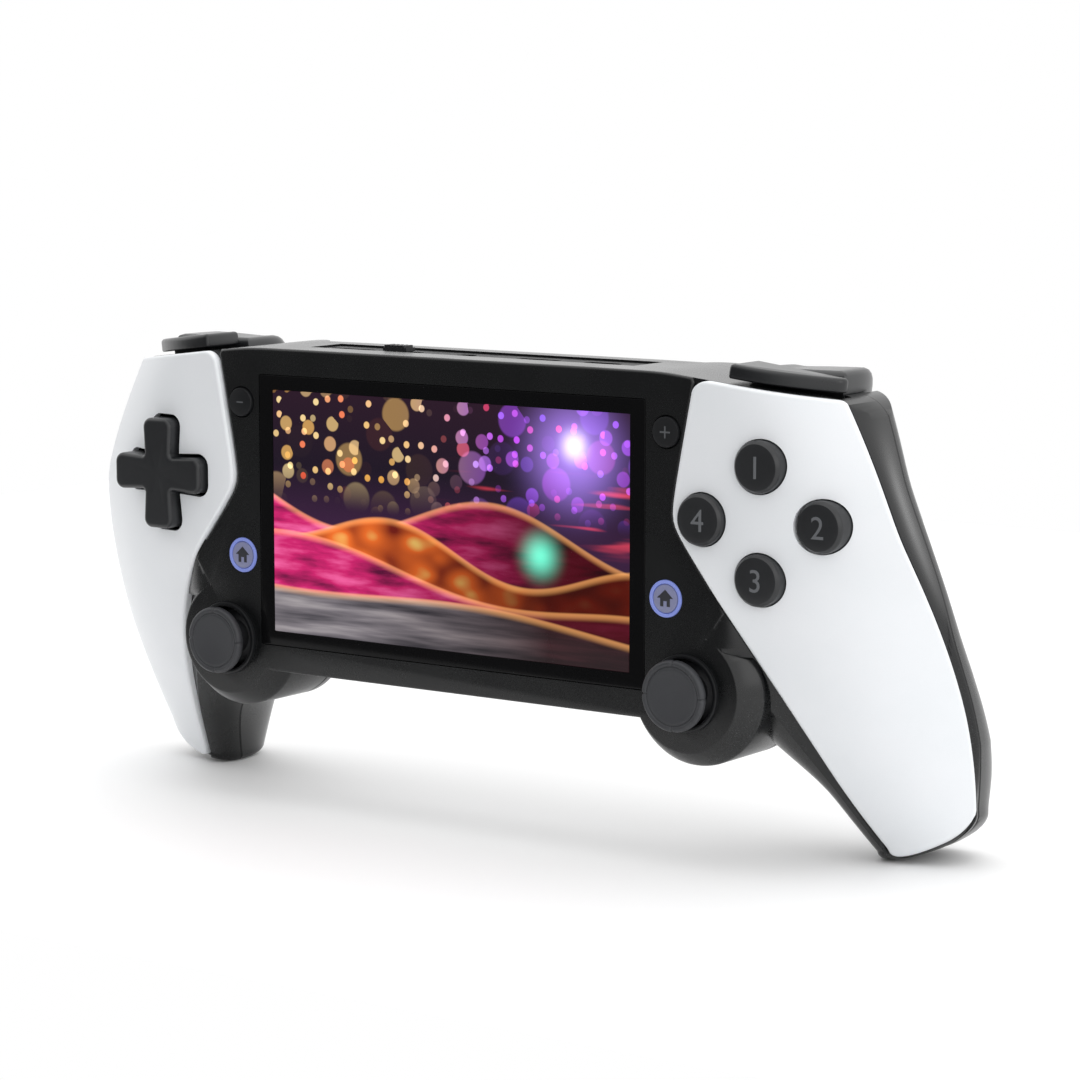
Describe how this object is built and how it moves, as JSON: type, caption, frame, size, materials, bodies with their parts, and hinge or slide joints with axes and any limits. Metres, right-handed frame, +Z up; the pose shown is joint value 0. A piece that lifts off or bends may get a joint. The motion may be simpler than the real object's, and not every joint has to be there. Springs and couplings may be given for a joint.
{
  "type": "handheld game console",
  "caption": "Handheld game console with a wide lit screen between two swept grips, a directional pad, face buttons, thumb sticks, bumpers, triggers and top sockets.",
  "frame": {"origin": "middle of the bounding box's floor, under the screen, level with the tips of the grips", "axes": "+X to the player's right, +Y from the face to the back, +Z up"},
  "size_m": [0.2268, 0.0562, 0.1052],
  "materials": {
    "shell": "satin black",
    "panel": "satin white",
    "lens": "polished, dark printed border",
    "gasket": "matt",
    "display": "lit picture",
    "board": "solder mask",
    "battery": "foil wrap",
    "mechanism": "moulded",
    "key": "polished black",
    "light_ring": "glowing blue-violet",
    "collar": "satin",
    "stick_rubber": "matt",
    "shoulder": "matt",
    "steel": "bright"
  },
  "bodies": {
    "body": {"front_shell": "shell", "rear_shell": "shell", "left_panel": "panel", "right_panel": "panel", "screen_lens": "lens", "screen_gasket": "gasket", "dpad_membrane": "gasket", "face_membrane": "gasket", "display_panel": "display", "main_board": "board", "left_button_board": "board", "right_button_board": "board", "socket_board": "board", "battery": "battery", "left_speaker": "mechanism", "right_speaker": "mechanism", "left_stick_module": "mechanism", "right_stick_module": "mechanism", "headphone_socket": "mechanism", "left_light_ring": "light_ring", "right_light_ring": "light_ring", "left_stick_ring": "collar", "right_stick_ring": "collar", "socket_strip": "collar", "dpad_post": "steel", "left_bumper_pin": "steel", "right_bumper_pin": "steel", "left_trigger_pin": "steel", "right_trigger_pin": "steel", "left_trigger_spring": "steel", "right_trigger_spring": "steel", "charge_socket": "steel", "video_socket": "steel", "card_socket": "steel", "switch_body": "steel", "case_screws": "steel", "board_screws": "steel"},
    "dpad_pivot": {"dpad_pivot": "mechanism"},
    "dpad": {"dpad": "key"},
    "face_button_1": {"face_button_1": "key"},
    "face_button_2": {"face_button_2": "key"},
    "face_button_3": {"face_button_3": "key"},
    "face_button_4": {"face_button_4": "key"},
    "minus_button": {"minus_button": "key"},
    "plus_button": {"plus_button": "key"},
    "left_lit_button": {"left_lit_button": "key"},
    "right_lit_button": {"right_lit_button": "key"},
    "left_stick_yoke": {"left_stick_yoke": "mechanism"},
    "left_stick": {"left_stick": "stick_rubber"},
    "right_stick_yoke": {"right_stick_yoke": "mechanism"},
    "right_stick": {"right_stick": "stick_rubber"},
    "left_bumper": {"left_bumper": "shoulder"},
    "right_bumper": {"right_bumper": "shoulder"},
    "left_trigger": {"left_trigger": "shoulder"},
    "right_trigger": {"right_trigger": "shoulder"},
    "power_slider": {"power_slider": "key"}
  },
  "joints": [
    {"name": "dpad_tilt_up_down", "type": "hinge", "parent": "body", "child": "dpad_pivot", "pos_m": [-0.0788, -0.0199, 0.07366], "axis": [1, 0, 0], "range_deg": [-5, 5], "stiffness_Nm_per_rad": 0.055},
    {"name": "dpad_tilt_left_right", "type": "hinge", "parent": "dpad_pivot", "child": "dpad", "pos_m": [-0.0788, -0.0199, 0.07366], "axis": [0, 0, 1], "range_deg": [-5, 5], "stiffness_Nm_per_rad": 0.055},
    {"name": "face_button_1_press", "type": "slide", "parent": "body", "child": "face_button_1", "axis": [0, 1, 0], "range_m": [0, 0.0012], "stiffness_N_per_m": 400},
    {"name": "face_button_2_press", "type": "slide", "parent": "body", "child": "face_button_2", "axis": [0, 1, 0], "range_m": [0, 0.0012], "stiffness_N_per_m": 400},
    {"name": "face_button_3_press", "type": "slide", "parent": "body", "child": "face_button_3", "axis": [0, 1, 0], "range_m": [0, 0.0012], "stiffness_N_per_m": 400},
    {"name": "face_button_4_press", "type": "slide", "parent": "body", "child": "face_button_4", "axis": [0, 1, 0], "range_m": [0, 0.0012], "stiffness_N_per_m": 400},
    {"name": "minus_button_press", "type": "slide", "parent": "body", "child": "minus_button", "axis": [0, 1, 0], "range_m": [0, 0.0006], "stiffness_N_per_m": 600},
    {"name": "plus_button_press", "type": "slide", "parent": "body", "child": "plus_button", "axis": [0, 1, 0], "range_m": [0, 0.0006], "stiffness_N_per_m": 600},
    {"name": "left_lit_button_press", "type": "slide", "parent": "body", "child": "left_lit_button", "axis": [0, 1, 0], "range_m": [0, 0.0006], "stiffness_N_per_m": 600},
    {"name": "right_lit_button_press", "type": "slide", "parent": "body", "child": "right_lit_button", "axis": [0, 1, 0], "range_m": [0, 0.0006], "stiffness_N_per_m": 600},
    {"name": "left_stick_up_down", "type": "hinge", "parent": "body", "child": "left_stick_yoke", "pos_m": [-0.0612, -0.0129, 0.03726], "axis": [1, 0, 0], "range_deg": [-12, 12], "stiffness_Nm_per_rad": 0.05},
    {"name": "left_stick_left_right", "type": "hinge", "parent": "left_stick_yoke", "child": "left_stick", "pos_m": [-0.0612, -0.0129, 0.03726], "axis": [0, 0, 1], "range_deg": [-12, 12], "stiffness_Nm_per_rad": 0.05},
    {"name": "left_bumper_press", "type": "hinge", "parent": "body", "child": "left_bumper", "pos_m": [-0.0793, -0.0105, 0.09779], "axis": [0.9923, 0, 0.1236], "range_deg": [0, 3.5], "stiffness_Nm_per_rad": 0.3, "springref_deg": -1.15},
    {"name": "left_trigger_pull", "type": "hinge", "parent": "body", "child": "left_trigger", "pos_m": [-0.07754, -0.0047, 0.0974], "axis": [-0.9923, 0, -0.1236], "range_deg": [0, 10], "stiffness_Nm_per_rad": 0.13, "springref_deg": -2.86},
    {"name": "right_stick_up_down", "type": "hinge", "parent": "body", "child": "right_stick_yoke", "pos_m": [0.0612, -0.0129, 0.03726], "axis": [1, 0, 0], "range_deg": [-12, 12], "stiffness_Nm_per_rad": 0.05},
    {"name": "right_stick_left_right", "type": "hinge", "parent": "right_stick_yoke", "child": "right_stick", "pos_m": [0.0612, -0.0129, 0.03726], "axis": [0, 0, 1], "range_deg": [-12, 12], "stiffness_Nm_per_rad": 0.05},
    {"name": "right_bumper_press", "type": "hinge", "parent": "body", "child": "right_bumper", "pos_m": [0.0793, -0.0105, 0.09779], "axis": [0.9923, 0, -0.1236], "range_deg": [0, 3.5], "stiffness_Nm_per_rad": 0.3, "springref_deg": -1.15},
    {"name": "right_trigger_pull", "type": "hinge", "parent": "body", "child": "right_trigger", "pos_m": [0.07754, -0.0047, 0.0974], "axis": [-0.9923, 0, 0.1236], "range_deg": [0, 10], "stiffness_Nm_per_rad": 0.13, "springref_deg": -2.86},
    {"name": "power_slide", "type": "slide", "parent": "body", "child": "power_slider", "axis": [1, 0, 0], "range_m": [0, 0.003]}
  ]
}
